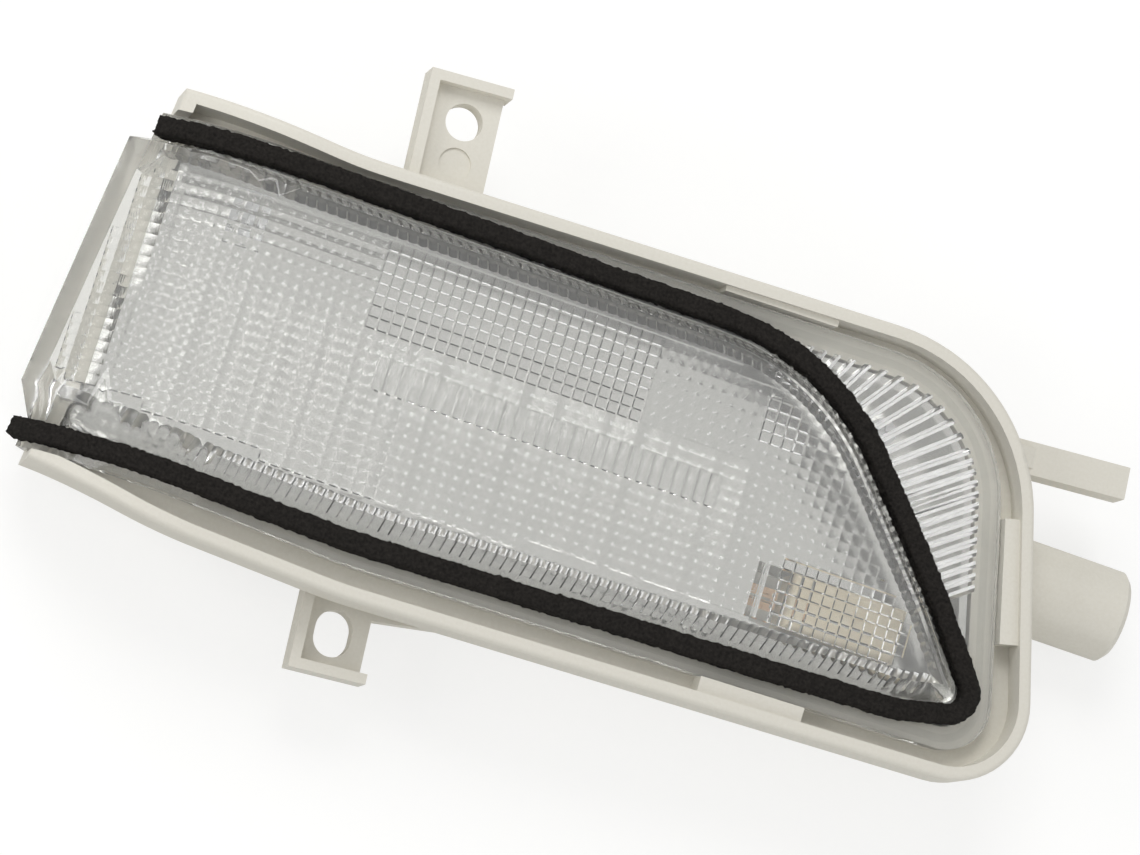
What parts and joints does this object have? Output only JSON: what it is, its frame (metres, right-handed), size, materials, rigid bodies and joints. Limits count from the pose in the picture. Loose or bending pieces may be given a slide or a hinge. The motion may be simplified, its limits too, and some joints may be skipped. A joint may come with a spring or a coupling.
{
  "type": "mirror turn signal lamp",
  "caption": "Slim wrap-around turn signal lamp for a door mirror: clear sloped lens in a moulded housing with a foam seal, fastening lugs, a locating finger and a round connector tube.",
  "frame": {"origin": "on the flat back of the housing, below the middle of the lens", "axes": "+X along the lamp towards the connector, +Y towards the lug with the round hole, +Z out of the lens"},
  "size_m": [0.1662, 0.0886, 0.0248],
  "materials": {
    "housing": "off-white moulding",
    "lens": "clear polished",
    "foam": "closed-cell foam",
    "sealant": "cured pale bead",
    "metallised": "metallised plastic",
    "diffuser": "milky",
    "board": "white solder mask",
    "led": "amber",
    "chip": "moulded",
    "capacitor": "moulded",
    "terminal": "tin plated",
    "screw": "zinc plated",
    "film": "matt membrane"
  },
  "bodies": {
    "root": {"housing": "housing", "lens": "lens", "gasket": "foam", "sealant_bead": "sealant", "reflector": "metallised", "light_bar": "diffuser", "circuit_board": "board", "led_1": "led", "led_2": "led", "led_3": "led", "led_4": "led", "resistor_1": "chip", "resistor_2": "chip", "resistor_3": "chip", "resistor_4": "chip", "diode": "chip", "capacitor": "capacitor", "terminal_1": "terminal", "terminal_2": "terminal", "terminal_potting": "sealant", "board_screws": "screw", "reflector_screws": "screw", "vent_membrane": "film"}
  },
  "joints": []
}
